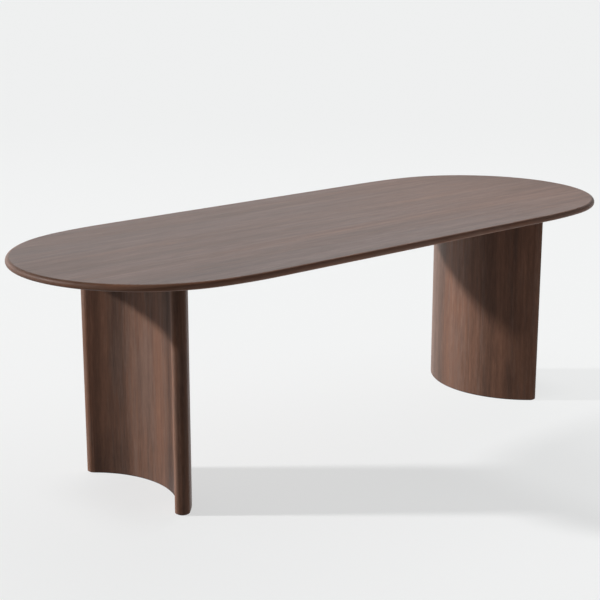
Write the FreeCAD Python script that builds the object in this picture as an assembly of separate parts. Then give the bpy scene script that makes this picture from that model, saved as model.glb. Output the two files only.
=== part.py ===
import FreeCAD, Part
import math
import os

# Pedestal dining table with a long rounded-end top on two C-shaped panel pedestals.
# Millimetres. X runs along the table, Y across it with the front at -Y, Z up from the floor.
# The origin is on the floor under the middle of the top.

# Overall sizes
TABLE_LENGTH = 2325.0
TABLE_WIDTH = 900.0
TABLE_HEIGHT = 750.0

# Outline of the top: each end is a nose arc eased into the straight sides by two flank arcs
END_NOSE_EASE = 10.0
END_FLANK_RADIUS = 1150.0

# Build-up of the top
CORE_THICKNESS = 18.0
FACE_VENEER_THICKNESS = 1.0
BACKER_VENEER_THICKNESS = 1.0
LIPPING_WIDTH = 14.0
TOP_EDGE_ROUND = 12.0
BOTTOM_EDGE_ROUND = 7.0
LIPPING_TONGUE_DEPTH = 6.0
LIPPING_TONGUE_THICKNESS = 6.0

# Pedestal plan
END_OVERHANG = 330.0
LEG_INNER_RADIUS = 290.0
LEG_THICKNESS = 45.0
LEG_HALF_ANGLE = math.radians(52.3)
NOSE_ROUND = 18.5

# Pedestal build-up
FLOOR_GAP = 2.0
SKIN_THICKNESS = 9.0
NOSING_LENGTH = 26.0
NOSING_TONGUE = 12.0
FOOT_ROUND = 1.5
TOP_BLOCK_HEIGHT = 60.0
BOTTOM_BLOCK_HEIGHT = 70.0
RIB_COUNT = 4
RIB_THICKNESS = 18.0
GLUE_LINE = 0.1

# Steel plate that joins a pedestal to the top
PLATE_THICKNESS = 6.0
PLATE_WIDTH = 390.0
PLATE_REACH = 100.0
PLATE_CORNER = 20.0
PLATE_CLEARANCE = 0.5
PLATE_SCREW_PITCH = 80.0
PLATE_SCREW_MARGIN = 25.0
PLATE_SCREW_LENGTH = 45.0
PLATE_SCREW_SHANK = 5.0
PLATE_SCREW_HEAD = 10.0
PLATE_SCREW_HEAD_HEIGHT = 2.8

# Bolts up into threaded inserts in the top
BOLT_DIAMETER = 8.0
BOLT_LENGTH = 20.0
BOLT_HEAD_DIAMETER = 14.0
BOLT_HEAD_HEIGHT = 4.4
BOLT_SOCKET = 5.0
BOLT_SOCKET_DEPTH = 2.6
BOLT_EDGE_INSET = 20.0
BOLT_WALL_INSET = 30.0
BOLT_SIDE_INSET = 30.0
BOLT_MIDDLE_SPACING = 120.0
WASHER_DIAMETER = 18.0
WASHER_THICKNESS = 1.6
INSERT_DIAMETER = 12.0
INSERT_LENGTH = 14.0

# Steel channels that stiffen the span between the pedestals
RAIL_WIDTH = 40.0
RAIL_DEPTH = 20.0
RAIL_WALL = 2.5
RAIL_BEND = 4.0
RAIL_OFFSET = 200.0
RAIL_END_GAP = 45.0
RAIL_SCREW_PITCH = 220.0
RAIL_SCREW_END_INSET = 30.0
RAIL_SCREW_LENGTH = 16.0
RAIL_SCREW_SHANK = 4.5
RAIL_SCREW_HEAD = 9.0
RAIL_SCREW_HEAD_HEIGHT = 2.8

# Levellers in the foot of each pedestal
LEVELLER_END_INSET = 35.0
STUD_DIAMETER = 8.0
STUD_LENGTH = 46.0
STUD_FLANGE_DIAMETER = 14.0
STUD_FLANGE_THICKNESS = 3.0
STUD_SOCKET = 4.0
STUD_SOCKET_DEPTH = 5.0
PAD_DIAMETER = 22.0
PAD_HEIGHT = 9.0
PAD_FLOOR = 3.0
PAD_ACCESS_HOLE = 8.0
PAD_ROUND = 1.5
PAD_STOP_GAP = 0.4
SLEEVE_DIAMETER = 12.0
SLEEVE_LENGTH = 40.0
SLEEVE_FLANGE_DIAMETER = 18.0
SLEEVE_FLANGE_THICKNESS = 1.5
RECESS_CLEARANCE = 1.5

# Small fits
THREAD_CLEARANCE = 0.05
HOLE_CLEARANCE = 0.5
SEAT_CLEARANCE = 0.05
SWIVEL_CLEARANCE = 0.2

# Levels and radii that follow from the sizes above
TOP_THICKNESS = CORE_THICKNESS + FACE_VENEER_THICKNESS + BACKER_VENEER_THICKNESS
TOP_ROUND = min(TOP_EDGE_ROUND, 0.62 * TOP_THICKNESS)
BOTTOM_ROUND = min(BOTTOM_EDGE_ROUND, 0.36 * TOP_THICKNESS)
UNDERSIDE = TABLE_HEIGHT - TOP_THICKNESS
CORE_LOW = UNDERSIDE + BACKER_VENEER_THICKNESS
CORE_HIGH = CORE_LOW + CORE_THICKNESS
HALF_LENGTH = TABLE_LENGTH / 2
HALF_WIDTH = TABLE_WIDTH / 2
END_NOSE_RADIUS = HALF_WIDTH - END_NOSE_EASE
NOSE_CENTRE_X = HALF_LENGTH - END_NOSE_RADIUS
FLANK_RISE = END_FLANK_RADIUS - HALF_WIDTH
FLANK_RUN = math.sqrt((END_FLANK_RADIUS - END_NOSE_RADIUS) ** 2 - FLANK_RISE ** 2)
FLANK_CENTRE_X = NOSE_CENTRE_X - FLANK_RUN
FLANK_ANGLE = math.atan2(FLANK_RISE, FLANK_RUN)
LEG_OUTER_RADIUS = LEG_INNER_RADIUS + LEG_THICKNESS
LEG_MID_RADIUS = LEG_INNER_RADIUS + LEG_THICKNESS / 2
CAVITY_INNER = LEG_INNER_RADIUS + SKIN_THICKNESS
CAVITY_OUTER = LEG_OUTER_RADIUS - SKIN_THICKNESS
NOSE_RADIUS = min(NOSE_ROUND, 0.48 * LEG_THICKNESS)
NOSE_OUTER_ANGLE = LEG_HALF_ANGLE - math.asin(NOSE_RADIUS / (LEG_OUTER_RADIUS - NOSE_RADIUS))
NOSE_INNER_ANGLE = LEG_HALF_ANGLE - math.asin(NOSE_RADIUS / (LEG_INNER_RADIUS + NOSE_RADIUS))
HORN_X = (LEG_INNER_RADIUS + NOSE_RADIUS) * math.cos(NOSE_INNER_ANGLE) - NOSE_RADIUS
LEG_AXIS_X = HALF_LENGTH - END_OVERHANG + HORN_X
SKIN_HALF_ANGLE = LEG_HALF_ANGLE - NOSING_LENGTH / LEG_MID_RADIUS
BLOCK_HALF_ANGLE = SKIN_HALF_ANGLE - (NOSING_TONGUE + GLUE_LINE) / LEG_MID_RADIUS
PLATE_LOW = UNDERSIDE - PLATE_THICKNESS
PLATE_RADIUS = CAVITY_OUTER - PLATE_CLEARANCE
PLATE_CHORD_X = LEG_INNER_RADIUS - PLATE_REACH
BOTTOM_BLOCK_TOP = FLOOR_GAP + BOTTOM_BLOCK_HEIGHT
TOP_BLOCK_LOW = PLATE_LOW - TOP_BLOCK_HEIGHT
SLEEVE_FLANGE_LOW = PAD_HEIGHT + PAD_STOP_GAP
RECESS_TOP = SLEEVE_FLANGE_LOW + SLEEVE_FLANGE_THICKNESS
STUD_RADIUS = STUD_DIAMETER / 2 - THREAD_CLEARANCE
BOLT_RADIUS = BOLT_DIAMETER / 2 - THREAD_CLEARANCE

SIDES = {"left": -1, "right": 1}


def vec(x, y, z=0.0):
    return FreeCAD.Vector(x, y, z)


def polar(radius, angle, z=0.0):
    return vec(radius * math.cos(angle), radius * math.sin(angle), z)


def line(start, end):
    return Part.LineSegment(start, end).toShape()


def arc(start, middle, end):
    return Part.Arc(start, middle, end).toShape()


def prism(edges, low, high):
    """Solid between two levels on a closed loop of edges drawn at zero height."""
    solid = Part.Face(Part.Wire(edges)).extrude(vec(0, 0, high - low))
    solid.translate(vec(0, 0, low))
    return solid


def cylinder(diameter, low, high, place):
    return Part.makeCylinder(diameter / 2, high - low, vec(place.x, place.y, low))


def box(x_low, x_high, y_low, y_high, z_low, z_high):
    return Part.makeBox(x_high - x_low, y_high - y_low, z_high - z_low, vec(x_low, y_low, z_low))


def hexagon(across_flats, low, high, place):
    corner = across_flats / math.sqrt(3)
    points = [place + polar(corner, math.radians(60 * step)) for step in range(6)]
    edges = [line(points[step - 1], points[step]) for step in range(6)]
    return prism(edges, low, high)


def cross_recess(width, thickness, low, high, place):
    long_way = box(-width / 2, width / 2, -thickness / 2, thickness / 2, low, high)
    short_way = box(-thickness / 2, thickness / 2, -width / 2, width / 2, low, high)
    recess = long_way.fuse(short_way)
    recess.translate(vec(place.x, place.y, 0))
    return recess


def sector(inner, outer, half_angle, low, high, middle_angle=0.0):
    """Upright wall bent round the pedestal's axis."""
    start = middle_angle - half_angle
    end = middle_angle + half_angle
    edges = [
        line(polar(inner, start), polar(outer, start)),
        arc(polar(outer, start), polar(outer, middle_angle), polar(outer, end)),
        line(polar(outer, end), polar(inner, end)),
        arc(polar(inner, end), polar(inner, middle_angle), polar(inner, start)),
    ]
    return prism(edges, low, high)


def group(solids):
    return Part.makeCompound(solids)


def cut_all(solid, tools):
    for tool in tools:
        solid = solid.cut(tool)
    return solid


# Tabletop


def end_arcs(side, inset):
    """Flank, nose and flank arcs of one end, from the front straight to the rear one."""
    nose = vec(NOSE_CENTRE_X, 0)
    flank = vec(FLANK_CENTRE_X, HALF_WIDTH - END_FLANK_RADIUS)
    nose_radius = END_NOSE_RADIUS - inset
    flank_radius = END_FLANK_RADIUS - inset
    middle = (FLANK_ANGLE + math.pi / 2) / 2
    rear_side = flank + polar(flank_radius, math.pi / 2)
    rear_flank = flank + polar(flank_radius, middle)
    rear_nose = flank + polar(flank_radius, FLANK_ANGLE)
    tip = nose + vec(nose_radius, 0)
    points = [rear_side, rear_flank, rear_nose]
    front = [vec(p.x, -p.y) for p in points]
    path = front + [tip] + points[::-1]
    path = [vec(side * p.x, p.y) for p in path]
    return [arc(path[0], path[1], path[2]), arc(path[2], path[3], path[4]), arc(path[4], path[5], path[6])]


def top_slab(inset, low, high):
    """Board on the top's outline drawn in by an inset."""
    y = HALF_WIDTH - inset
    x = FLANK_CENTRE_X
    edges = end_arcs(1, inset) + [line(vec(x, y), vec(-x, y))]
    edges = edges + end_arcs(-1, inset)[::-1] + [line(vec(-x, -y), vec(x, -y))]
    return prism(Part.__sortEdges__(edges), low, high)


def edges_at_level(solid, level):
    return [e for e in solid.Edges if abs(e.BoundBox.ZMin - level) < 0.01 and abs(e.BoundBox.ZMax - level) < 0.01]


def rounded_top():
    slab = top_slab(0, UNDERSIDE, TABLE_HEIGHT)
    slab = slab.makeFillet(TOP_ROUND, edges_at_level(slab, TABLE_HEIGHT))
    return slab.makeFillet(BOTTOM_ROUND, edges_at_level(slab, UNDERSIDE))


def tongue_ring(spare):
    """Ring between the core and the lippings: the tongue, or its groove when given some spare room."""
    middle = CORE_LOW + CORE_THICKNESS / 2
    low = middle - LIPPING_TONGUE_THICKNESS / 2 - spare
    high = middle + LIPPING_TONGUE_THICKNESS / 2 + spare
    outer = top_slab(LIPPING_WIDTH, low, high)
    inner = top_slab(LIPPING_WIDTH + LIPPING_TONGUE_DEPTH + spare, low - 1, high + 1)
    return outer.cut(inner)


def face_veneer():
    return top_slab(TOP_ROUND, CORE_HIGH, TABLE_HEIGHT)


def backer_veneer():
    veneer = top_slab(BOTTOM_ROUND, UNDERSIDE, CORE_LOW)
    return cut_all(veneer, insert_holes() + rail_screw_holes())


def top_core():
    core = top_slab(LIPPING_WIDTH, CORE_LOW, CORE_HIGH).cut(tongue_ring(GLUE_LINE))
    return cut_all(core, insert_holes() + rail_screw_holes())


def lippings():
    """Solid edge strips, cut square to the sides where the straight runs meet the ends."""
    band = rounded_top().cut(top_slab(LIPPING_WIDTH, CORE_LOW, CORE_HIGH))
    band = band.cut(top_slab(TOP_ROUND, CORE_HIGH, TABLE_HEIGHT + 1))
    band = band.cut(top_slab(BOTTOM_ROUND, UNDERSIDE - 1, CORE_LOW))
    band = band.fuse(tongue_ring(0)).removeSplitter()
    x = FLANK_CENTRE_X
    low = UNDERSIDE - 1
    high = TABLE_HEIGHT + 1
    regions = {
        "front": box(-x, x, -TABLE_WIDTH, 0, low, high),
        "rear": box(-x, x, 0, TABLE_WIDTH, low, high),
        "left": box(-TABLE_LENGTH, -x, -TABLE_WIDTH, TABLE_WIDTH, low, high),
        "right": box(x, TABLE_LENGTH, -TABLE_WIDTH, TABLE_WIDTH, low, high),
    }
    return {"edge_lipping_" + name: band.common(region) for name, region in regions.items()}


# Stiffener rails


def rail_half_length():
    inner_side = RAIL_OFFSET - RAIL_WIDTH / 2
    bulge = math.sqrt(LEG_OUTER_RADIUS ** 2 - inner_side ** 2)
    return LEG_AXIS_X - bulge - RAIL_END_GAP


def rail_screw_places(side):
    reach = rail_half_length() - RAIL_SCREW_END_INSET
    count = max(2, round(2 * reach / RAIL_SCREW_PITCH) + 1)
    step = 2 * reach / (count - 1)
    return [vec(-reach + step * index, side * RAIL_OFFSET) for index in range(count)]


def rail_screw(place, spare=0.0):
    """Pan-head screw pointing up, its head under the channel's web."""
    seat = UNDERSIDE - RAIL_WALL
    shank = RAIL_SCREW_SHANK + 2 * spare
    tip = seat + RAIL_SCREW_LENGTH
    body = cylinder(shank, seat, tip - shank / 2, place)
    point = Part.makeCone(shank / 2, 0.2, shank / 2 + spare, vec(place.x, place.y, tip - shank / 2))
    return body.fuse(point)


def rail_screw_with_head(place):
    seat = UNDERSIDE - RAIL_WALL
    low = seat - RAIL_SCREW_HEAD_HEIGHT
    head = cylinder(RAIL_SCREW_HEAD, low, seat, place)
    head = head.makeFillet(RAIL_SCREW_HEAD_HEIGHT * 0.6, edges_at_level(head, low))
    recess = cross_recess(RAIL_SCREW_HEAD * 0.5, 1.0, low - 1, low + RAIL_SCREW_HEAD_HEIGHT * 0.6, place)
    return head.fuse(rail_screw(place)).removeSplitter().cut(recess)


def rail_screw_holes():
    return [rail_screw(place, SEAT_CLEARANCE) for side in (-1, 1) for place in rail_screw_places(side)]


def stiffener_rail(side):
    """Channel with its web against the underside of the top and its flanges down."""
    half = rail_half_length()
    low = UNDERSIDE - RAIL_DEPTH
    y = side * RAIL_OFFSET
    rail = box(-half, half, y - RAIL_WIDTH / 2, y + RAIL_WIDTH / 2, low, UNDERSIDE)
    bends = [e for e in edges_at_level(rail, UNDERSIDE) if e.Length > RAIL_WIDTH + 1]
    rail = rail.makeFillet(RAIL_BEND, bends)
    inner = RAIL_WIDTH / 2 - RAIL_WALL
    web = UNDERSIDE - RAIL_WALL
    hollow = box(-half - 1, half + 1, y - inner, y + inner, low - 1, web)
    bends = [e for e in edges_at_level(hollow, web) if e.Length > RAIL_WIDTH + 1]
    rail = rail.cut(hollow.makeFillet(max(RAIL_BEND - RAIL_WALL, 0.5), bends))
    hole = RAIL_SCREW_SHANK + HOLE_CLEARANCE
    return cut_all(rail, [cylinder(hole, web - 1, UNDERSIDE + 1, p) for p in rail_screw_places(side)])


# Fixing of a pedestal to the top, drawn round the pedestal's own axis with the bulge towards +X


def bolt_places():
    front_row = PLATE_CHORD_X + BOLT_EDGE_INSET
    wall_row = LEG_INNER_RADIUS - BOLT_WALL_INSET
    side = PLATE_WIDTH / 2 - BOLT_SIDE_INSET
    middle = BOLT_MIDDLE_SPACING / 2
    halves = [(front_row, side), (front_row, middle), (wall_row, middle)]
    return [vec(x, sign * y) for x, y in halves for sign in (-1, 1)]


def insert_holes():
    """Blind holes in the top for the inserts of both pedestals."""
    holes = []
    for side in SIDES.values():
        for place in bolt_places():
            spot = vec(side * (LEG_AXIS_X - place.x), place.y)
            holes.append(cylinder(INSERT_DIAMETER + 2 * SEAT_CLEARANCE, UNDERSIDE - 1, UNDERSIDE + INSERT_LENGTH, spot))
    return holes


def threaded_inserts():
    solids = []
    for place in bolt_places():
        barrel = cylinder(INSERT_DIAMETER, UNDERSIDE, UNDERSIDE + INSERT_LENGTH, place)
        bore = cylinder(BOLT_DIAMETER, UNDERSIDE - 1, UNDERSIDE + INSERT_LENGTH + 1, place)
        solids.append(barrel.cut(bore))
    return group(solids)


def bolt_washers():
    solids = []
    low = PLATE_LOW - WASHER_THICKNESS
    for place in bolt_places():
        disc = cylinder(WASHER_DIAMETER, low, PLATE_LOW, place)
        solids.append(disc.cut(cylinder(BOLT_DIAMETER + HOLE_CLEARANCE, low - 1, PLATE_LOW + 1, place)))
    return group(solids)


def mounting_bolts():
    """Button-head bolts pushed up through the washers and the plate."""
    solids = []
    seat = PLATE_LOW - WASHER_THICKNESS
    low = seat - BOLT_HEAD_HEIGHT
    for place in bolt_places():
        head = cylinder(BOLT_HEAD_DIAMETER, low, seat, place)
        head = head.makeFillet(BOLT_HEAD_HEIGHT * 0.75, edges_at_level(head, low))
        shank = cylinder(2 * BOLT_RADIUS, seat, seat + BOLT_LENGTH, place)
        socket = hexagon(BOLT_SOCKET, low - 1, low + BOLT_SOCKET_DEPTH, place)
        solids.append(head.fuse(shank).removeSplitter().cut(socket))
    return group(solids)


def plate_screw_places():
    arc_half = math.asin(PLATE_WIDTH / 2 / PLATE_RADIUS) * LEG_MID_RADIUS - PLATE_SCREW_MARGIN
    each_way = int(arc_half / PLATE_SCREW_PITCH)
    step = PLATE_SCREW_PITCH / LEG_MID_RADIUS
    return [polar(LEG_MID_RADIUS, step * index) for index in range(-each_way, each_way + 1)]


def plate_screw(place, spare=0.0):
    """Countersunk screw pointing down, its head flush with the top of the plate."""
    radius = PLATE_SCREW_SHANK / 2 + spare
    neck = UNDERSIDE - PLATE_SCREW_HEAD_HEIGHT
    tip = UNDERSIDE - PLATE_SCREW_LENGTH
    profile = [
        vec(0, 0, UNDERSIDE),
        vec(PLATE_SCREW_HEAD / 2 + spare, 0, UNDERSIDE),
        vec(radius, 0, neck),
        vec(radius, 0, tip + radius),
        vec(0.2, 0, tip - spare),
        vec(0, 0, tip - spare),
    ]
    outline = Part.Face(Part.makePolygon(profile + [profile[0]]))
    screw = outline.revolve(vec(0, 0, 0), vec(0, 0, 1), 360)
    screw.translate(vec(place.x, place.y, 0))
    return screw


def plate_screws():
    solids = []
    for place in plate_screw_places():
        recess = cross_recess(PLATE_SCREW_HEAD * 0.5, 1.0, UNDERSIDE - 1.8, UNDERSIDE + 1, place)
        solids.append(plate_screw(place).cut(recess))
    return group(solids)


def plate_screw_holes():
    return [plate_screw(place, SEAT_CLEARANCE) for place in plate_screw_places()]


def mounting_plate():
    """D-shaped plate let into the head of the pedestal and reaching into its hollow side."""
    side = PLATE_WIDTH / 2
    wall_x = math.sqrt(PLATE_RADIUS ** 2 - side ** 2)
    corners = [vec(PLATE_CHORD_X, -side), vec(wall_x, -side), vec(wall_x, side), vec(PLATE_CHORD_X, side)]
    edges = [
        line(corners[0], corners[1]),
        arc(corners[1], vec(PLATE_RADIUS, 0), corners[2]),
        line(corners[2], corners[3]),
        line(corners[3], corners[0]),
    ]
    plate = prism(edges, PLATE_LOW, UNDERSIDE)
    posts = [e for e in plate.Edges if e.BoundBox.ZLength > 1 and e.BoundBox.XMax < PLATE_CHORD_X + 1]
    plate = plate.makeFillet(PLATE_CORNER, posts)
    hole = BOLT_DIAMETER + HOLE_CLEARANCE
    holes = [cylinder(hole, PLATE_LOW - 1, UNDERSIDE + 1, place) for place in bolt_places()]
    return cut_all(plate, holes + plate_screw_holes())


# Pedestal, drawn round its own axis with the bulge towards +X


def foot_edges(solid, radius):
    """Bottom edge that runs along one face of a bent wall."""
    found = []
    for edge in edges_at_level(solid, FLOOR_GAP):
        middle = edge.valueAt((edge.FirstParameter + edge.LastParameter) / 2)
        if abs(math.hypot(middle.x, middle.y) - radius) < 0.01 and edge.Length > SKIN_THICKNESS * 2:
            found.append(edge)
    return found


def outer_skin():
    skin = sector(CAVITY_OUTER, LEG_OUTER_RADIUS, SKIN_HALF_ANGLE, FLOOR_GAP, UNDERSIDE)
    return skin.makeFillet(FOOT_ROUND, foot_edges(skin, LEG_OUTER_RADIUS))


def inner_skin():
    """Hollow-side skin, notched at the head to let the plate through."""
    skin = sector(LEG_INNER_RADIUS, CAVITY_INNER, SKIN_HALF_ANGLE, FLOOR_GAP, UNDERSIDE)
    skin = skin.makeFillet(FOOT_ROUND, foot_edges(skin, LEG_INNER_RADIUS))
    side = PLATE_WIDTH / 2 + PLATE_CLEARANCE
    return skin.cut(box(0, LEG_OUTER_RADIUS, -side, side, PLATE_LOW, UNDERSIDE + 1))


def nosing_edges():
    """Plan of the rounded post that closes the rear end of the wall."""
    outer_centre = polar(LEG_OUTER_RADIUS - NOSE_RADIUS, NOSE_OUTER_ANGLE)
    inner_centre = polar(LEG_INNER_RADIUS + NOSE_RADIUS, NOSE_INNER_ANGLE)
    square = LEG_HALF_ANGLE + math.pi / 2
    outer_joint = polar(LEG_OUTER_RADIUS, SKIN_HALF_ANGLE)
    outer_bend = polar(LEG_OUTER_RADIUS, NOSE_OUTER_ANGLE)
    outer_end = outer_centre + polar(NOSE_RADIUS, square)
    inner_end = inner_centre + polar(NOSE_RADIUS, square)
    inner_bend = polar(LEG_INNER_RADIUS, NOSE_INNER_ANGLE)
    inner_joint = polar(LEG_INNER_RADIUS, SKIN_HALF_ANGLE)
    outer_turn = outer_centre + polar(NOSE_RADIUS, (NOSE_OUTER_ANGLE + square) / 2)
    inner_turn = inner_centre + polar(NOSE_RADIUS, (square + NOSE_INNER_ANGLE + math.pi) / 2)
    return [
        line(inner_joint, outer_joint),
        arc(outer_joint, polar(LEG_OUTER_RADIUS, (SKIN_HALF_ANGLE + NOSE_OUTER_ANGLE) / 2), outer_bend),
        arc(outer_bend, outer_turn, outer_end),
        line(outer_end, inner_end),
        arc(inner_end, inner_turn, inner_bend),
        arc(inner_bend, polar(LEG_INNER_RADIUS, (SKIN_HALF_ANGLE + NOSE_INNER_ANGLE) / 2), inner_joint),
    ]


def rear_nosing():
    post = prism(nosing_edges(), FLOOR_GAP, UNDERSIDE)
    rim = []
    for edge in edges_at_level(post, FLOOR_GAP):
        middle = edge.valueAt((edge.FirstParameter + edge.LastParameter) / 2)
        if math.atan2(middle.y, middle.x) > SKIN_HALF_ANGLE + 0.001:
            rim.append(edge)
    post = post.makeFillet(FOOT_ROUND, rim)
    tongue_half = NOSING_TONGUE / LEG_MID_RADIUS / 2
    tongue_middle = SKIN_HALF_ANGLE - tongue_half
    tongue = sector(CAVITY_INNER + GLUE_LINE, CAVITY_OUTER - GLUE_LINE, tongue_half, FLOOR_GAP, PLATE_LOW, tongue_middle)
    return post.fuse(tongue).removeSplitter()


def front_nosing():
    return rear_nosing().mirror(vec(0, 0), vec(0, 1))


def cavity_block(low, high):
    return sector(CAVITY_INNER + GLUE_LINE, CAVITY_OUTER - GLUE_LINE, BLOCK_HALF_ANGLE, low, high)


def top_block():
    return cut_all(cavity_block(TOP_BLOCK_LOW, PLATE_LOW), plate_screw_holes())


def bottom_block():
    block = cavity_block(FLOOR_GAP, BOTTOM_BLOCK_TOP)
    for place in leveller_places().values():
        block = block.cut(cylinder(PAD_DIAMETER + 2 * RECESS_CLEARANCE, FLOOR_GAP - 1, RECESS_TOP, place))
        bore = SLEEVE_DIAMETER + 2 * SEAT_CLEARANCE
        block = block.cut(cylinder(bore, FLOOR_GAP, RECESS_TOP + SLEEVE_LENGTH, place))
    return block


def ribs():
    half = RIB_THICKNESS / LEG_MID_RADIUS / 2
    step = 2 * BLOCK_HALF_ANGLE / (RIB_COUNT + 1)
    solids = []
    for index in range(RIB_COUNT):
        angle = -BLOCK_HALF_ANGLE + step * (index + 1)
        inner = CAVITY_INNER + GLUE_LINE
        outer = CAVITY_OUTER - GLUE_LINE
        solids.append(sector(inner, outer, half, BOTTOM_BLOCK_TOP, TOP_BLOCK_LOW, angle))
    return group(solids)


# Levellers


def leveller_places():
    reach = BLOCK_HALF_ANGLE - LEVELLER_END_INSET / LEG_MID_RADIUS
    angles = {"front": -reach, "middle": 0.0, "rear": reach}
    return {name: polar(LEG_MID_RADIUS, angle) for name, angle in angles.items()}


def leveller_sleeves():
    solids = []
    for place in leveller_places().values():
        flange = cylinder(SLEEVE_FLANGE_DIAMETER, SLEEVE_FLANGE_LOW, RECESS_TOP, place)
        barrel = cylinder(SLEEVE_DIAMETER, RECESS_TOP, RECESS_TOP + SLEEVE_LENGTH, place)
        bore = cylinder(STUD_DIAMETER, SLEEVE_FLANGE_LOW - 1, RECESS_TOP + SLEEVE_LENGTH + 1, place)
        solids.append(flange.fuse(barrel).removeSplitter().cut(bore))
    return group(solids)


def leveller_stud(place):
    """Threaded stud with a flange held in the pad and a socket that is reached through the pad."""
    flange_top = PAD_FLOOR + STUD_FLANGE_THICKNESS
    flange = cylinder(STUD_FLANGE_DIAMETER, PAD_FLOOR, flange_top, place)
    stem = cylinder(2 * STUD_RADIUS, flange_top, PAD_FLOOR + STUD_LENGTH, place)
    stem = stem.makeChamfer(0.8, edges_at_level(stem, PAD_FLOOR + STUD_LENGTH))
    socket = hexagon(STUD_SOCKET, PAD_FLOOR - 1, PAD_FLOOR + STUD_SOCKET_DEPTH, place)
    return flange.fuse(stem).removeSplitter().cut(socket)


def leveller_pad(place):
    """Swivel pad that stands on the floor and holds the stud's flange in a pocket."""
    pad = cylinder(PAD_DIAMETER, 0, PAD_HEIGHT, place)
    pad = pad.makeFillet(PAD_ROUND, edges_at_level(pad, 0))
    pocket_top = PAD_FLOOR + STUD_FLANGE_THICKNESS + SWIVEL_CLEARANCE
    pocket = cylinder(STUD_FLANGE_DIAMETER + 2 * SWIVEL_CLEARANCE, PAD_FLOOR, pocket_top, place)
    collar = cylinder(STUD_DIAMETER + 2 * SWIVEL_CLEARANCE, PAD_FLOOR, PAD_HEIGHT + 1, place)
    access = cylinder(PAD_ACCESS_HOLE, -1, PAD_FLOOR + 1, place)
    return cut_all(pad, [pocket, collar, access])


# Assembly


def pedestal_nodes():
    """Every piece of one pedestal round its own axis, keyed by the part of its name after the side."""
    nodes = {
        "leg_outer_skin": outer_skin(),
        "leg_inner_skin": inner_skin(),
        "leg_front_nosing": front_nosing(),
        "leg_rear_nosing": rear_nosing(),
        "leg_top_block": top_block(),
        "leg_bottom_block": bottom_block(),
        "leg_ribs": ribs(),
        "mounting_plate": mounting_plate(),
        "plate_screws": plate_screws(),
        "mounting_bolts": mounting_bolts(),
        "bolt_washers": bolt_washers(),
        "top_inserts": threaded_inserts(),
        "leveller_sleeves": leveller_sleeves(),
    }
    for name, place in leveller_places().items():
        nodes[name + "_leveller_stud"] = leveller_stud(place)
        nodes[name + "_leveller_pad"] = leveller_pad(place)
    return nodes


def stand_pedestal(shape, side):
    """Put a piece of the pedestal under one end of the top, hollow side towards that end."""
    placed = shape.copy()
    placed.translate(vec(-LEG_AXIS_X, 0, 0))
    if side > 0:
        placed = placed.mirror(vec(0, 0), vec(1, 0))
    return placed


def table_nodes():
    nodes = {
        "top_core": top_core(),
        "top_face_veneer": face_veneer(),
        "top_backer_veneer": backer_veneer(),
    }
    nodes.update(lippings())
    for name, side in {"front": -1, "rear": 1}.items():
        nodes["stiffener_rail_" + name] = stiffener_rail(side)
        nodes["rail_screws_" + name] = group([rail_screw_with_head(p) for p in rail_screw_places(side)])
    for name, shape in pedestal_nodes().items():
        for side_name, side in SIDES.items():
            nodes[side_name + "_" + name] = stand_pedestal(shape, side)
    return nodes


os.makedirs("parts", exist_ok=True)
for node_name, node_shape in table_nodes().items():
    node_shape.exportStep("parts/" + node_name + ".step")
    print(node_name, len(node_shape.Solids), round(node_shape.Volume / 1000, 1), node_shape.isValid())
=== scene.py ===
import math
import bpy
from mathutils import Matrix, Vector


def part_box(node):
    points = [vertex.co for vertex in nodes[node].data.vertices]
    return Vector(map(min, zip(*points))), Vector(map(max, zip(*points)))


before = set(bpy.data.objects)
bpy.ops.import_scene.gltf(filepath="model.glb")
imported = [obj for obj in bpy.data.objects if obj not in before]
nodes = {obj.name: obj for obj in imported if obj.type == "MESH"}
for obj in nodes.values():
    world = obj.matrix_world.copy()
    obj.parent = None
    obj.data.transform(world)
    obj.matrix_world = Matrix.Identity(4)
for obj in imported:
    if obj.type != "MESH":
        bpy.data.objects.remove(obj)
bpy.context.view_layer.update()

# Plan values of the table in metres, as in the solids
LEG_AXIS_X = 1.01697
LEG_INNER_RADIUS = 0.290
LEG_OUTER_RADIUS = 0.335
LEG_MID_RADIUS = (LEG_INNER_RADIUS + LEG_OUTER_RADIUS) / 2
LEG_HALF_WALL = (LEG_OUTER_RADIUS - LEG_INNER_RADIUS) / 2
LEG_HALF_ANGLE = math.radians(52.3)
NOSING_BLEND = 0.022
END_CENTRE_X = 0.7225
END_RADIUS = 0.44
LIPPING_JOINT_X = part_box("edge_lipping_front")[1][0]
LIPPING_JOINT_ANGLE = math.atan2(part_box("edge_lipping_rear")[1][1], LIPPING_JOINT_X - END_CENTRE_X)
SIDES = {"left": -1.0, "right": 1.0}


# Node helpers


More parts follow.
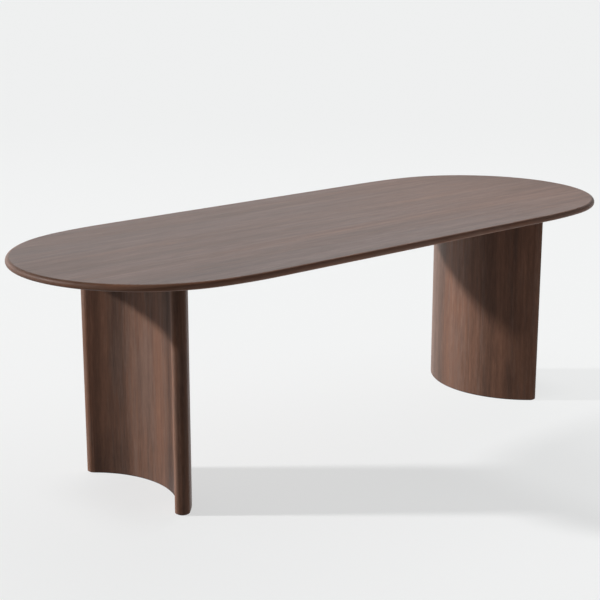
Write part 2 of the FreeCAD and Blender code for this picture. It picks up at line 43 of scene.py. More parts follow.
class Tree:
    """The nodes of a material or a world, with short calls for those that the looks are made of."""

    def __init__(self, owner):
        owner.use_nodes = True
        self.owner = owner
        self.nodes = owner.node_tree.nodes
        self.links = owner.node_tree.links
        self.shader = self.nodes.get("Principled BSDF") or self.nodes["Background"]

    def put(self, socket, value):
        if isinstance(value, bpy.types.NodeSocket):
            self.links.new(value, socket)
        else:
            socket.default_value = value

    def math(self, operation, *values, clamp=False):
        node = self.nodes.new("ShaderNodeMath")
        node.operation = operation
        node.use_clamp = clamp
        for socket, value in zip(node.inputs, values):
            self.put(socket, value)
        return node.outputs[0]

    def add(self, first, *others):
        for other in others:
            first = self.math("ADD", first, other)
        return first

    def times(self, first, *others):
        for other in others:
            first = self.math("MULTIPLY", first, other)
        return first

    def scale(self, value, factor, offset=0.0):
        return self.math("MULTIPLY_ADD", value, factor, offset)

    def length(self, x, y):
        return self.math("SQRT", self.add(self.times(x, x), self.times(y, y)))

    def spread(self, value, low, high):
        """Maps low to 0 and high to 1, smoothly and clamped."""
        node = self.nodes.new("ShaderNodeMapRange")
        node.interpolation_type = "SMOOTHSTEP"
        self.put(node.inputs["Value"], value)
        self.put(node.inputs["From Min"], low)
        self.put(node.inputs["From Max"], high)
        return node.outputs["Result"]

    def ease(self, value, places, levels):
        """Goes smoothly from the first level at the first place to the second level at the second."""
        return self.scale(self.spread(value, *places), levels[1] - levels[0], levels[0])

    def between(self, first, second, share):
        """The first value where the share is 0, and the second where it is 1."""
        return self.add(self.times(first, self.scale(share, -1.0, 1.0)), self.times(share, second))

    def hump(self, value, centre, reach):
        """One at the centre, falling smoothly to zero at the reach to each side."""
        return self.spread(self.math("ABSOLUTE", self.scale(value, 1.0, -centre)), reach, 0.0)

    def position(self, kind="Object"):
        """The object's own x, y and z in metres, or a world's direction as Generated."""
        coords = self.nodes.new("ShaderNodeTexCoord")
        split = self.nodes.new("ShaderNodeSeparateXYZ")
        self.links.new(coords.outputs[kind], split.inputs[0])
        return split.outputs

    def vector(self, x, y, z):
        node = self.nodes.new("ShaderNodeCombineXYZ")
        for socket, value in zip(node.inputs, (x, y, z)):
            self.put(socket, value)
        return node.outputs[0]

    def noise(self, vector, detail=2.0):
        node = self.nodes.new("ShaderNodeTexNoise")
        node.inputs["Scale"].default_value = 1.0
        node.inputs["Detail"].default_value = detail
        self.links.new(vector, node.inputs["Vector"])
        return node.outputs["Fac"]

    def speckle(self, level, upright, detail=2.0):
        """Noise with so many periods per metre along the level axes and along the upright one."""
        x, y, z = self.position()
        place = self.vector(self.scale(x, level), self.scale(y, level), self.scale(z, upright))
        return self.noise(place, detail)

    def ramp(self, value, stops):
        node = self.nodes.new("ShaderNodeValToRGB")
        elements = node.color_ramp.elements
        while len(elements) < len(stops):
            elements.new(0.5)
        for element, (place, colour) in zip(elements, stops):
            element.position = place
            element.color = (*colour, 1.0)
        self.put(node.inputs["Fac"], value)
        return node.outputs["Color"]

    def mix(self, share, first, second):
        """Mixes two colours, for which the node has inputs 6 and 7 and output 2."""
        node = self.nodes.new("ShaderNodeMix")
        node.data_type = "RGBA"
        self.put(node.inputs[0], share)
        self.put(node.inputs[6], first)
        self.put(node.inputs[7], second)
        return node.outputs[2]

    def bump(self, height, distance, strength):
        node = self.nodes.new("ShaderNodeBump")
        node.inputs["Strength"].default_value = strength
        node.inputs["Distance"].default_value = distance
        self.links.new(height, node.inputs["Height"])
        return node.outputs["Normal"]

    def finish(self, colour, roughness, normal, metallic=0.0):
        self.put(self.shader.inputs["Base Color"], colour)
        self.put(self.shader.inputs["Roughness"], roughness)
        self.put(self.shader.inputs["Normal"], normal)
        self.shader.inputs["Metallic"].default_value = metallic
        return self.owner

    def glow(self, colour, strength):
        """Makes a matt stage finish that gives off light of its own."""
        inputs = self.shader.inputs
        self.put(inputs["Base Color"], colour)
        self.put(inputs["Emission Strength"], strength)
        inputs["Emission Color"].default_value = STAGE_COLOUR
        inputs["Specular IOR Level"].default_value = 0.0
        inputs["Roughness"].default_value = STAGE_ROUGHNESS
        return self.owner

    def clear_from_behind(self):
        """Lets light and sight through the back of each face, so that a floor hides nothing above it."""
        side = self.nodes.new("ShaderNodeNewGeometry")
        clear = self.nodes.new("ShaderNodeBsdfTransparent")
        either = self.nodes.new("ShaderNodeMixShader")
        self.links.new(side.outputs["Backfacing"], either.inputs["Fac"])
        self.links.new(self.shader.outputs[0], either.inputs[1])
        self.links.new(clear.outputs[0], either.inputs[2])
        self.links.new(either.outputs[0], self.nodes["Material Output"].inputs["Surface"])


def material(name):
    return Tree(bpy.data.materials.new(name))


# Walnut

# Linear base colours from dark late wood to pale early wood: reddish, greyish and silvery
WARM = [
    (0.0, (0.052, 0.0208, 0.0104)), (0.35, (0.112, 0.0476, 0.0252)),
    (0.65, (0.174, 0.0766, 0.0426)), (1.0, (0.280, 0.1316, 0.0798))]
COOL = [
    (0.0, (0.050, 0.0240, 0.0145)), (0.35, (0.108, 0.0556, 0.0362)),
    (0.65, (0.168, 0.0899, 0.0613)), (1.0, (0.270, 0.1526, 0.1107))]
SILVER = [
    (0.0, (0.050, 0.0310, 0.0260)), (0.35, (0.108, 0.0695, 0.0590)),
    (0.65, (0.168, 0.1100, 0.0945)), (1.0, (0.270, 0.1810, 0.1560))]

# Hue values between which the reddish colours give way to the others
HUE_BLEND = (0.32, 0.68)
TOP_HUE_BLEND = (-0.3, 1.3)

# Layers of grain: periods per metre along and across the fibres, place in the noise, and weight in the tone
GRAIN = {
    "broad": (0.6, 6.0, 31.0, 0.45),
    "streak": (1.5, 42.0, 47.0, 0.50),
    "short": (11.0, 75.0, 53.0, 0.34),
    "fine": (3.0, 165.0, 59.0, 0.30),
    "fleck": (30.0, 210.0, 61.0, 0.30),
    "fibre": (14.0, 760.0, 67.0, 0.24),
}
GRAIN_DETAIL = 2.0
FIBRE_DETAIL = 1.0
PORE_DETAIL = 0.0

# Other layers: periods per metre along and across the fibres, and place in the noise
WANDER = (0.8, 2.5, 11.0)
RIPPLE = (5.0, 22.0, 23.0)
PORES = (48.0, 1500.0, 109.0)
BROAD_HUE = (0.5, 14.0, 83.0)
FINE_HUE = (8.0, 90.0, 89.0)

# Metres by which the wander and the ripple bend the fibres and the figure
FIBRE_BEND = (0.040, 0.006)
FIGURE_BEND = (0.012, 0.008)

NOISE_MIDDLE = 0.5
MIDDLE_TONE = 0.5
SEED_STEP_ALONG = 7.3
SEED_STEP_ACROSS = 3.1
PORE_EDGE = (0.63, 0.72)
PORE_DARKNESS = 0.10
BROAD_HUE_WEIGHT = 0.8
FINE_HUE_WEIGHT = 0.7
FINE_HUE_OFFSET = -0.25
RELIEF_WEIGHTS = {"fibre": 0.35, "fine": 0.4, "pore": -0.9}
GRAIN_RELIEF = 0.00012
GLOSS_BY_TONE = -0.08
GLOSS_BY_RELIEF = 0.03
LENGTH_FADE = 0.09


def walnut(
        tree, along, across, depth, seed, contrast=1.0, lift=0.0, grey=0.0, figure=(),
        cool=COOL, blend=HUE_BLEND):
    """Walnut whose fibres run along the first of three coordinates in metres: colour, tone and relief."""
    def field(run, cut, offset, side, detail=GRAIN_DETAIL):
        place = tree.vector(
            tree.scale(along, run, seed * SEED_STEP_ALONG + offset),
            tree.scale(side, cut, seed * SEED_STEP_ACROSS + offset),
            tree.scale(depth, cut, offset))
        return tree.noise(place, detail)

    def bent(by_wander, by_ripple):
        return tree.add(across, tree.scale(wander, by_wander), tree.scale(ripple, by_ripple))

    wander = tree.scale(field(*WANDER, across), 1.0, -NOISE_MIDDLE)
    ripple = tree.scale(field(*RIPPLE, across, FIBRE_DETAIL), 1.0, -NOISE_MIDDLE)
    fibres = bent(*FIBRE_BEND)
    layers = {}
    swing = 0.0
    for name, (run, cut, offset, weight) in GRAIN.items():
        detail = FIBRE_DETAIL if name == "fibre" else GRAIN_DETAIL
        layers[name] = field(run, cut, offset, fibres, detail)
        swing = tree.add(tree.scale(layers[name], weight, -NOISE_MIDDLE * weight), swing)
    layers["pore"] = tree.spread(field(*PORES, fibres, PORE_DETAIL), *PORE_EDGE)
    hue = tree.add(
        tree.scale(field(*BROAD_HUE, fibres), BROAD_HUE_WEIGHT, grey),
        tree.scale(field(*FINE_HUE, fibres), FINE_HUE_WEIGHT, FINE_HUE_OFFSET))
    steady = bent(*FIGURE_BEND)
    for centre, reach, middle, length, shift, tint in figure:
        hump = tree.times(tree.hump(steady, centre, reach), tree.hump(along, middle, length))
        swing = tree.add(swing, tree.scale(hump, shift / contrast))
        hue = tree.add(hue, tree.scale(hump, tint))
    tone = tree.add(tree.scale(swing, contrast, MIDDLE_TONE), lift)
    tone = tree.math("SUBTRACT", tone, tree.scale(layers["pore"], PORE_DARKNESS), clamp=True)
    colour = tree.mix(tree.spread(hue, *blend), tree.ramp(tone, WARM), tree.ramp(tone, cool))
    relief = tree.add(*[tree.scale(layers[name], weight) for name, weight in RELIEF_WEIGHTS.items()])
    return colour, tone, relief


def lacquered(tree, along, across, depth, seed, shine=0.37, texture=0.6, rough=0.54, **look):
    """Walnut under a thin satin lacquer."""
    colour, tone, relief = walnut(tree, along, across, depth, seed, **look)
    gloss = tree.add(tree.scale(tone, GLOSS_BY_TONE, rough), tree.scale(relief, GLOSS_BY_RELIEF))
    tree.shader.inputs["Specular IOR Level"].default_value = shine
    return tree.finish(colour, gloss, tree.bump(relief, GRAIN_RELIEF, texture))


def length_grain(name, seed, **look):
    tree = material(name)
    return lacquered(tree, *tree.position(), seed, **look)


# The top's looks by place in metres from its middle: where a change begins and ends, and its two levels
TOP_LIFT = 0.19
TOP_CORNER_SLANT = 0.5
# Painted shade: the far right corner darkens where the top's reflection fades
TOP_CORNER_LIFT = (0.75, 1.20), (0.0, -0.16)
TOP_LENGTH_GREY = (-0.1, 1.0), (0.13, -0.37)
TOP_FRONT_GREY = (-0.15, -0.42), (0.0, 0.42)
TOP_REAR_GREY = (0.10, 0.40), (0.0, -0.12)


def top_grain(name, seed, **look):
    """Grain along the top, lighter and redder towards its right, with a grey front and a dark far end that
    paints the reflection fading there.
    """
    tree = material(name)
    x, y, z = tree.position()
    corner = tree.add(x, tree.scale(y, TOP_CORNER_SLANT))
    lift = tree.add(tree.scale(x, LENGTH_FADE, TOP_LIFT), tree.ease(corner, *TOP_CORNER_LIFT))
    grey = tree.add(
        tree.ease(x, *TOP_LENGTH_GREY), tree.ease(y, *TOP_FRONT_GREY), tree.ease(y, *TOP_REAR_GREY))
    return lacquered(tree, x, y, z, seed, lift=lift, grey=grey, cool=SILVER, blend=TOP_HUE_BLEND, **look)


# Angles round an end between which its nose's lift gives way to the straight run's
NOSE_FADE = (-0.1, 1.45)
LIPPING_DEPTH_SHARE = 0.02


def lipping_grain(name, seed, straight, left_nose, right_nose, **look):
    """Grain along the whole edge, with one lift on the straight runs and one at each end's nose."""
    tree = material(name)
    x, y, z = tree.position()
    reach = tree.math("ABSOLUTE", x)
    angle = tree.math("ARCTAN2", tree.math("ABSOLUTE", y), tree.scale(reach, 1.0, -END_CENTRE_X))
    bend = tree.math("MAXIMUM", tree.scale(angle, -1.0, LIPPING_JOINT_ANGLE), 0.0)
    run = tree.add(tree.math("MINIMUM", reach, LIPPING_JOINT_X), tree.scale(bend, END_RADIUS))
    along = tree.times(run, tree.math("SIGN", x))
    nose = tree.ease(x, (-END_CENTRE_X, END_CENTRE_X), (left_nose, right_nose))
    lift = tree.between(nose, tree.scale(x, LENGTH_FADE, straight), tree.spread(angle, *NOSE_FADE))
    return lacquered(tree, along, z, tree.scale(y, LIPPING_DEPTH_SHARE), seed, lift=lift, **look)


def round_axis(tree, side):
    """Height, arc length and radius about a pedestal's axis, with the arc from the middle of its wall."""
    x, y, z = tree.position()
    out = tree.scale(x, -side, LEG_AXIS_X)
    return z, tree.scale(tree.math("ARCTAN2", y, out), LEG_MID_RADIUS), tree.length(out, y)


def upright_grain(name, side, seed, **look):
    """Upright grain on a wall bent round a pedestal's axis."""
    tree = material(name)
    return lacquered(tree, *round_axis(tree, side), seed, **look)


def nosing_grain(name, side, seed, inner, tip, outer, **look):
    """Upright grain on a nosing, with a lift each at its inner side, its tip and its outer side."""
    tree = material(name)
    height, arc, radius = round_axis(tree, side)
    past_inner = (LEG_INNER_RADIUS, LEG_INNER_RADIUS + NOSING_BLEND)
    past_tip = (LEG_OUTER_RADIUS - NOSING_BLEND, LEG_OUTER_RADIUS)
    lift = tree.add(
        tree.ease(radius, past_inner, (inner, tip)), tree.ease(radius, past_tip, (0.0, outer - tip)))
    return lacquered(tree, height, arc, radius, seed, lift=lift, **look)


# Figure on the three veneered faces that the photograph shows

WHOLE_LENGTH = (0.35, 3.0)
WHOLE_WIDTH = (0.0, 0.6)
# Heights near the floor over which painted shade darkens a pedestal's wall towards the floor
FOOT_SHADE_HEIGHTS = (0.0, 0.24)


def patch(across, along, tone=0.0, grey=0.0):
    """A patch's place and reach across the grain and along it, and what it adds to tone and greyness."""
    return (*across, *along, tone, grey)


TOP_FIGURE = (
    patch((0.05, 0.07), (-0.75, 0.40), tone=0.09, grey=-0.10),
    patch((0.05, 0.07), (0.52, 0.40), tone=0.07, grey=-0.12),
    patch((-0.05, 0.06), (-0.45, 0.70), tone=-0.08),
    patch((-0.05, 0.05), (0.90, 0.20), tone=-0.10),
    patch((-0.16, 0.07), (0.0, 0.80), tone=0.09, grey=-0.22),
    patch((0.30, 0.14), (0.50, 0.40), tone=-0.08),
)
LEFT_INNER_FIGURE = (
    # Painted shade, darker towards the floor
    patch(WHOLE_WIDTH, FOOT_SHADE_HEIGHTS, tone=-0.15),
    patch((0.258, 0.030), (0.45, 0.45), tone=0.28, grey=-0.10),
    patch((0.225, 0.050), WHOLE_LENGTH, grey=-0.25),
    patch((0.212, 0.025), WHOLE_LENGTH, tone=0.12),
    patch((0.225, 0.045), (0.02, 0.16), tone=-0.25),
    patch((0.165, 0.045), WHOLE_LENGTH, tone=-0.26, grey=-0.05),
    # Grey here is partly the wood's own, partly painted sheen where the key lights the wall
    patch((0.165, 0.040), (0.38, 0.18), grey=0.25),
    patch((0.130, 0.035), (0.10, 0.32), tone=-0.14, grey=-0.05),
    patch((0.060, 0.090), WHOLE_LENGTH, tone=0.10),
    patch((0.060, 0.060), (0.52, 0.22), tone=0.12),
    # Grey here is partly the wood's own, partly painted sheen where the key lights the wall
    patch((0.052, 0.055), (0.34, 0.22), grey=0.35),
    patch((-0.035, 0.050), WHOLE_LENGTH, tone=0.16, grey=-0.20),
    patch((-0.100, 0.045), WHOLE_LENGTH, tone=-0.32, grey=-0.15),
    patch((0.200, 0.025), (0.48, 0.20), tone=0.15),
    patch((0.100, 0.025), WHOLE_LENGTH, tone=0.10),
    patch((-0.070, 0.050), WHOLE_LENGTH, tone=-0.08),
)
RIGHT_OUTER_FIGURE = (
    # Painted shade, darker towards the floor
    patch(WHOLE_WIDTH, FOOT_SHADE_HEIGHTS, tone=-0.08),
    patch((-0.055, 0.030), (0.14, 0.30), tone=0.11),
    patch(WHOLE_WIDTH, WHOLE_LENGTH, tone=-0.03),
    # The grey in these two bands is partly the wood's own, partly painted sheen near the wall's rim
    patch((0.180, 0.060), WHOLE_LENGTH, grey=0.20),
    patch((0.150, 0.080), WHOLE_LENGTH, tone=-0.12, grey=0.35),
    patch((0.105, 0.035), WHOLE_LENGTH, tone=-0.10),
    patch((0.050, 0.070), WHOLE_LENGTH, tone=0.18, grey=-0.12),
    patch((0.000, 0.045), WHOLE_LENGTH, tone=0.15),
    patch((-0.112, 0.034), WHOLE_LENGTH, tone=-0.17, grey=-0.15),
    patch((-0.150, 0.040), WHOLE_LENGTH, tone=0.08, grey=-0.20),
    patch((-0.188, 0.020), WHOLE_LENGTH, tone=-0.08),
    patch((-0.185, 0.030), (0.08, 0.12), tone=-0.16),
    patch((-0.245, 0.050), WHOLE_LENGTH, tone=0.16, grey=-0.15),
)


# Other materials

PLY_THICKNESS = 0.0015
PLY_START = 0.2
PLY_EDGE = (0.0004, 0.0011)
PLY_COLOURS = [(0.0, (0.16, 0.09, 0.045)), (0.5, (0.36, 0.23, 0.12)), (1.0, (0.52, 0.37, 0.22))]
BOARD_COLOURS = [(0.2, (0.20, 0.12, 0.06)), (0.8, (0.38, 0.26, 0.15))]
COAT_COLOURS = [(0.3, (0.010, 0.010, 0.011)), (0.75, (0.022, 0.022, 0.023))]
ZINC_COLOURS = [(0.25, (0.42, 0.43, 0.44)), (0.75, (0.66, 0.67, 0.68))]
BRASS_COLOURS = [(0.25, (0.42, 0.29, 0.10)), (0.75, (0.68, 0.50, 0.22))]
NYLON_COLOURS = [(0.3, (0.012, 0.011, 0.010)), (0.8, (0.030, 0.028, 0.026))]
ROUGH_DETAIL = 3.0
MOTTLE_DETAIL = 4.0


def plywood(name):
    """Layers of veneer in level sheets, with fibres in each."""
    tree = material(name)
    height = tree.position()["Z"]
    layer = tree.math("PINGPONG", tree.scale(height, 1.0, PLY_START), PLY_THICKNESS)
    fibre = tree.speckle(level=60.0, upright=900.0, detail=ROUGH_DETAIL)
    tone = tree.add(tree.ease(layer, PLY_EDGE, (0.2, 0.55)), tree.scale(fibre, 0.5))
    roughness = tree.scale(fibre, factor=0.2, offset=0.55)
    surface = tree.bump(fibre, distance=0.0002, strength=0.5)
    return tree.finish(tree.ramp(tone, PLY_COLOURS), roughness, surface)


def fibreboard(name):
    """Pressed fibres with faint clouds."""
    tree = material(name)
    grain = tree.speckle(level=500.0, upright=900.0, detail=ROUGH_DETAIL)
    clouds = tree.speckle(level=12.0, upright=60.0)
    tone = tree.add(tree.scale(grain, 0.6), tree.scale(clouds, 0.4))
    roughness = tree.scale(grain, factor=0.1, offset=0.75)
    surface = tree.bump(grain, distance=0.0001, strength=0.6)
    return tree.finish(tree.ramp(tone, BOARD_COLOURS), roughness, surface)


def mottled(name, colours, patches, least_rough, rough_range, grain, depth, strength, metallic=0.0):
    """Patches in the colour and gloss, and fine grain in the surface, both in periods per metre."""
    tree = material(name)
    mottle = tree.speckle(patches, patches, MOTTLE_DETAIL)
    roughness = tree.scale(mottle, rough_range, least_rough)
    surface = tree.bump(tree.speckle(*grain), depth, strength)
    return tree.finish(tree.ramp(mottle, colours), roughness, surface, metallic)


def powder_coat(name):
    return mottled(
        name, COAT_COLOURS, patches=25.0, least_rough=0.42, rough_range=0.2,
        grain=(1400.0, 1400.0), depth=0.00008, strength=0.7)


def plated(name, colours):
    return mottled(
        name, colours, patches=160.0, least_rough=0.2, rough_range=0.25,
        grain=(300.0, 4000.0), depth=0.00003, strength=0.5, metallic=1.0)


def nylon(name):
    return mottled(
        name, NYLON_COLOURS, patches=220.0, least_rough=0.45, rough_range=0.25,
        grain=(2200.0, 2200.0), depth=0.00006, strength=0.6)


# Dressing

# Where each walnut piece lies in the noise, to which a pedestal's piece adds its side
SEEDS = {
    "top": 1.0, "backer": 2.0, "lipping": 3.0,
    "inner": 8.0, "outer": 12.0, "front": 16.0, "rear": 20.0,
}

# Satin of the veneers and posts, and lifts at a nosing's inner side, tip and outer side
TOP_SATIN = {"contrast": 0.75, "shine": 0.25, "texture": 0.25}
LIPPING_LIFTS = {"straight": 0.38, "left_nose": -0.20, "right_nose": 0.22}
LIPPING_SHINE = 0.20
INNER_SATIN = {"shine": 0.42, "rough": 0.64}
OUTER_SATIN = {"shine": 0.45, "rough": 0.62}
FRONT_SATIN = {"shine": 0.28, "rough": 0.74}
REAR_SATIN = {"rough": 0.74}
# The left front nosing's lighter inner side is partly its tone, partly a painted highlight along its lit
# rounding
FRONT_LIFTS = {"left": (0.15, -0.20, -0.02), "right": (0.14, 0.27, 0.27)}
REAR_LIFTS = (0.25, 0.0, 0.0)
INNER_FIGURES = {"left": LEFT_INNER_FIGURE, "right": ()}
OUTER_FIGURES = {"left": (), "right": RIGHT_OUTER_FIGURE}


def dress(name, finish):
    slots = nodes[name].data.materials
    slots.clear()
    slots.append(finish)


def dress_top():
    """Walnut top: veneered faces on a fibreboard core, a solid lipping, and steel rails beneath."""
    dress("top_face_veneer", top_grain("walnut_top", SEEDS["top"], figure=TOP_FIGURE, **TOP_SATIN))
    dress("top_backer_veneer", length_grain("walnut_backer", SEEDS["backer"]))
    dress("top_core", fibreboard("core_board"))
    lipping = lipping_grain("walnut_lipping", SEEDS["lipping"], **LIPPING_LIFTS, shine=LIPPING_SHINE)
    for place in ("front", "rear", "left", "right"):
        dress("edge_lipping_" + place, lipping)
    rail = powder_coat("black_rail")
    screw = plated("rail_zinc", ZINC_COLOURS)
    for place in ("front", "rear"):
        dress("stiffener_rail_" + place, rail)
        dress("rail_screws_" + place, screw)


def dress_walls(name, side):
    """Walnut skins and nosings of one pedestal."""
    leg = name + "_leg_"
    inner = upright_grain(
        "walnut_inner_" + name, side, SEEDS["inner"] + side, figure=INNER_FIGURES[name], **INNER_SATIN)
    outer = upright_grain(
        "walnut_outer_" + name, side, SEEDS["outer"] + side, figure=OUTER_FIGURES[name], **OUTER_SATIN)
    front = nosing_grain(
        "walnut_nosing_front_" + name, side, SEEDS["front"] + side, *FRONT_LIFTS[name], **FRONT_SATIN)
    rear = nosing_grain(
        "walnut_nosing_rear_" + name, side, SEEDS["rear"] + side, *REAR_LIFTS, **REAR_SATIN)
    dress(leg + "inner_skin", inner)
    dress(leg + "outer_skin", outer)
    dress(leg + "front_nosing", front)
    dress(leg + "rear_nosing", rear)


def dress_pedestals():
    """Walnut walls on plywood frames, with black plates, bright fasteners and dark pads."""
    ply = plywood("pedestal_ply")
    black = powder_coat("black_steel")
    zinc = plated("zinc_steel", ZINC_COLOURS)
    brass = plated("brass", BRASS_COLOURS)
    pad = nylon("pad_nylon")
    for name, side in SIDES.items():
        dress_walls(name, side)
        for piece in ("top_block", "bottom_block", "ribs"):
            dress(name + "_leg_" + piece, ply)
        dress(name + "_mounting_plate", black)
        dress(name + "_top_inserts", brass)
        for piece in ("plate_screws", "mounting_bolts", "bolt_washers", "leveller_sleeves"):
            dress(name + "_" + piece, zinc)
        for place in ("front", "middle", "rear"):
            dress(name + "_" + place + "_leveller_stud", zinc)
            dress(name + "_" + place + "_leveller_pad", pad)


# Stage

KEY_STRENGTH = 3.60
KEY_ELEVATION = math.radians(26.2)
KEY_HEADING = math.radians(-41.0)
KEY_ANGLE = math.radians(3.9)
KEY_SHARE = KEY_STRENGTH * math.sin(KEY_ELEVATION) / math.pi
FILL_SHARE = 0.218
VIEW_FORWARD = (0.6675, 0.7446)
STAGE_REACH = 60.0
STAGE_COLOUR = (0.990, 1.0, 1.0, 1.0)
STAGE_ROUGHNESS = 0.9
FLOOR_DEPTH = 0.0005

# Changes over the floor, whose glow paints its brightness: how deep the key's shadow falls on it, and how
# bright the open floor is; where each begins and ends in metres, and its two levels
SHADOW_DROPS = (((-0.02, 0.28), (0.1618, 0.1089)), ((0.25, 0.85), (0.0, -0.0460)))
OPEN_LEVELS = (((-2.2, 1.6), (0.880, 0.900)), ((2.5, 9.0), (0.0, -0.030)))

# Painted soft shade in the floor's glow round the pedestals: centre, reach and depth
PAINTED_FLOOR_SHADES = (((-1.0, -0.24), 1.54, 0.0453), ((0.416, -0.314), 1.23, 0.0356))

# Shade on the floor inside a pedestal's bend: its edges, measured outward, from the axis and along y
BEND_DEPTH = 0.053
BEND_RIM = (LEG_OUTER_RADIUS, LEG_INNER_RADIUS - 0.005)
BEND_MOUTH = (-0.08, 0.14)
BEND_ENDS = (0.36, 0.06)
BEND_MIDDLE_Y = -0.02

# Shade on the floor under a pedestal's wall: the arc to its rounded end's middle, and its edge
WALL_END = LEG_HALF_ANGLE * LEG_MID_RADIUS - LEG_HALF_WALL
WALL_SHADE_EDGE = (LEG_HALF_WALL - 0.002, LEG_HALF_WALL - 0.005)

WALL_STEPS = 96
WALL_RADIUS = 0.96 * STAGE_REACH
WALL_FOOT = -1.0
WALL_GLOW = 0.875
BLACK = (0.0, 0.0, 0.0, 1.0)


def stage_piece(name, points, faces, finish):
    """A piece of the stage that the camera sees, but that diffuse and glossy rays from the table pass
    through.
    """
    mesh = bpy.data.meshes.new(name)
    mesh.from_pydata(points, [], faces)
    mesh.materials.append(finish)
    thing = bpy.data.objects.new(name, mesh)
    bpy.context.scene.collection.objects.link(thing)
    thing.visible_diffuse = False
    thing.visible_glossy = False
    return thing


def bend_shade(tree, x, y, side):
    """Share of soft shade on the floor inside a pedestal's bend."""
    out = tree.scale(x, -side, LEG_AXIS_X)
    inside = tree.spread(tree.length(out, y), *BEND_RIM)
    middle = tree.spread(tree.math("ABSOLUTE", tree.scale(y, 1.0, -BEND_MIDDLE_Y)), *BEND_ENDS)
    return tree.times(inside, tree.spread(out, *BEND_MOUTH), middle)


def wall_shade(tree, side):
    """Share of darkness on the floor under a pedestal's wall, which nearly touches it."""
    arc, radius = round_axis(tree, side)[1:]
    past_end = tree.math("MAXIMUM", tree.scale(tree.math("ABSOLUTE", arc), 1.0, -WALL_END), 0.0)
    off_middle = tree.scale(radius, 1.0, -LEG_MID_RADIUS)
    return tree.spread(tree.length(past_end, off_middle), *WALL_SHADE_EDGE)


def floor_finish():
    """Pale floor that glows a little, so that shadows on it stay light, more so towards the right; the glow
    also paints its uneven brightness and the shade round and under the pedestals.
    """
    tree = material("pale_floor")
    x, y = tree.position()[:2]
    away = tree.add(tree.scale(x, VIEW_FORWARD[0]), tree.scale(y, VIEW_FORWARD[1]))
    drop = tree.add(*[tree.ease(x, *change) for change in SHADOW_DROPS])
    # Painted brightness of the open floor, which the glow makes up
    level = tree.add(*[tree.ease(away, *change) for change in OPEN_LEVELS])
    # Painted shade round the pedestals
    for (centre_x, centre_y), reach, depth in PAINTED_FLOOR_SHADES:
        distance = tree.length(tree.scale(x, 1.0, -centre_x), tree.scale(y, 1.0, -centre_y))
        level = tree.add(level, tree.ease(distance, (reach, 0.0), (0.0, -depth)))
    bends = tree.add(*[bend_shade(tree, x, y, side) for side in SIDES.values()])
    level = tree.add(level, tree.scale(bends, -BEND_DEPTH))
    shade = tree.scale(drop, 1.0 / KEY_SHARE)
    lit = tree.scale(shade, KEY_SHARE + FILL_SHARE)
    walls = tree.add(*[wall_shade(tree, side) for side in SIDES.values()])
    open_floor = tree.scale(walls, -1.0, 1.0)
    glow = tree.times(tree.math("SUBTRACT", level, lit), open_floor)
    shade = tree.times(shade, open_floor)
    tree.clear_from_behind()
    return tree.glow(tree.vector(shade, shade, shade), glow)


def floor():
    corners = [(-1, -1), (1, -1), (1, 1), (-1, 1)]
    points = [(STAGE_REACH * x, STAGE_REACH * y, 0.0) for x, y in corners]
    plane = stage_piece("floor", points, [(0, 1, 2, 3)], floor_finish())
    plane.location.z = -FLOOR_DEPTH


def backdrop():
    """White wall and ceiling far round the floor, for views that reach past its edge."""
    ring = [math.tau * step / WALL_STEPS for step in range(WALL_STEPS)]
    circle = [(WALL_RADIUS * math.cos(turn), WALL_RADIUS * math.sin(turn)) for turn in ring]
    points = [(x, y, z) for z in (WALL_FOOT, STAGE_REACH) for x, y in circle]
    faces = []
    for step in range(WALL_STEPS):
        after = (step + 1) % WALL_STEPS
        faces.append((step, after, WALL_STEPS + after, WALL_STEPS + step))
    faces.append(tuple(range(WALL_STEPS, 2 * WALL_STEPS)))
    wall = stage_piece("backdrop", points, faces, material("white_wall").glow(BLACK, WALL_GLOW))
    wall.visible_shadow = False


def key_light(name, things, mirrored):
    """Low key on the things given, from the table's left rear, about four degrees across."""
    light = bpy.data.lights.new(name, "SUN")
    light.energy = KEY_STRENGTH
    light.angle = KEY_ANGLE
    sun = bpy.data.objects.new(name, light)
    bpy.context.scene.collection.objects.link(sun)
    level = math.cos(KEY_ELEVATION)
    aim = Vector((math.cos(KEY_HEADING) * level, math.sin(KEY_HEADING) * level, -math.sin(KEY_ELEVATION)))
    sun.visible_glossy = mirrored
    lit = bpy.data.collections.new(name)
    for thing in things:
        lit.objects.link(thing)
    sun.light_linking.receiver_collection = lit
    sun.rotation_mode = "QUATERNION"
    sun.rotation_quaternion = aim.to_track_quat("-Z", "Y")


def key_lights():
    """One key for the pedestals and lipping, and the same for the rest without its mirror image.

    On the flat top that image would be a white glare.
    """
    bright = [thing for name, thing in nodes.items() if name.startswith(("left_", "right_", "edge_"))]
    others = [thing for thing in bpy.context.scene.objects if thing.type == "MESH" and thing not in bright]
    key_light("key_mirrored", bright, True)
    key_light("key_plain", others, False)


# Studio fill by direction as the camera sees it: from below the horizon, just above it, and half way up
FILL_BELOW = {"back": 1.32, "front": 0.22, "right": 0.55, "left": 0.67}
FILL_LOW = {"back": 2.86, "front": 0.23, "right": 0.23, "left": 0.16}
FILL_MIDDLE = {"back": 0.29, "front": 0.16, "right": 0.18, "left": 0.12}
FILL_TOP = 0.05
FILL_LOW_TURN = math.radians(28.0)
FILL_COLOUR = (0.985, 0.985, 0.985, 1.0)

# Heights of a direction between which one band of the fill gives way to the next
RISE_TO_LOW = (-0.02, 0.02)
RISE_TO_MIDDLE = (0.25, 0.45)
RISE_TO_TOP = (0.65, 0.90)
TINY = 0.000001


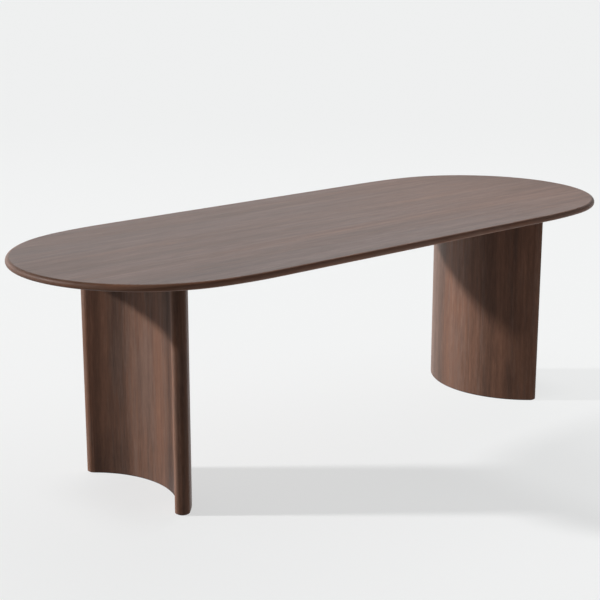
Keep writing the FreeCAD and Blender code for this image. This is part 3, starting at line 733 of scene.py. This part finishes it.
def sky():
    """Studio fill: a bright low band behind the table, a pale floor's bounce, and little from overhead."""
    world = bpy.data.worlds.new("studio")
    tree = Tree(world)
    tree.shader.inputs["Color"].default_value = FILL_COLOUR
    x, y, z = tree.position("Generated")
    level = tree.math("MAXIMUM", tree.add(tree.times(x, x), tree.times(y, y)), TINY)

    def share(heading, strength):
        facing = tree.add(tree.scale(x, math.cos(heading)), tree.scale(y, math.sin(heading)))
        facing = tree.math("MAXIMUM", facing, 0.0)
        return tree.scale(tree.math("DIVIDE", tree.times(facing, facing), level), strength)

    def band(fill, turn=0.0):
        back = math.atan2(VIEW_FORWARD[1], VIEW_FORWARD[0]) + turn
        quarter = math.pi / 2
        headings = {
            "back": back, "left": back + quarter, "front": back + 2 * quarter, "right": back - quarter}
        return tree.add(*[share(headings[side], strength) for side, strength in fill.items()])

    light = tree.between(band(FILL_BELOW), band(FILL_LOW, FILL_LOW_TURN), tree.spread(z, *RISE_TO_LOW))
    light = tree.between(light, band(FILL_MIDDLE), tree.spread(z, *RISE_TO_MIDDLE))
    light = tree.between(light, FILL_TOP, tree.spread(z, *RISE_TO_TOP))
    tree.put(tree.shader.inputs["Strength"], light)
    bpy.context.scene.world = world


# The photograph's camera: place, aim, roll, and focal length in pixels of its 600-pixel frame
CAMERA_PLACE = (-3.1737, -3.3835, 1.6663)
CAMERA_AIM = (0.6478, 0.7199, -0.2493)
CAMERA_ROLL = 0.00103
FOCAL_PIXELS = 1411.88
FRAME_PIXELS = 600.0
SENSOR_WIDTH = 36.0
SIGHT_END = 400.0


def camera():
    data = bpy.data.cameras.new("camera")
    data.sensor_fit = "HORIZONTAL"
    data.sensor_width = SENSOR_WIDTH
    data.lens = SENSOR_WIDTH * FOCAL_PIXELS / FRAME_PIXELS
    data.clip_end = SIGHT_END
    eye = bpy.data.objects.new("camera", data)
    bpy.context.scene.collection.objects.link(eye)
    look = Vector(CAMERA_AIM).normalized()
    right = look.cross(Vector((0, 0, 1))).normalized()
    up = right.cross(look)
    turned_right = math.cos(CAMERA_ROLL) * right + math.sin(CAMERA_ROLL) * up
    turned_up = math.cos(CAMERA_ROLL) * up - math.sin(CAMERA_ROLL) * right
    turn = Matrix((turned_right, turned_up, -look)).transposed()
    eye.matrix_world = Matrix.Translation(CAMERA_PLACE) @ turn.to_4x4()
    bpy.context.scene.camera = eye


dress_top()
dress_pedestals()
floor()
backdrop()
key_lights()
sky()
camera()
bpy.context.scene.view_settings.view_transform = "Standard"
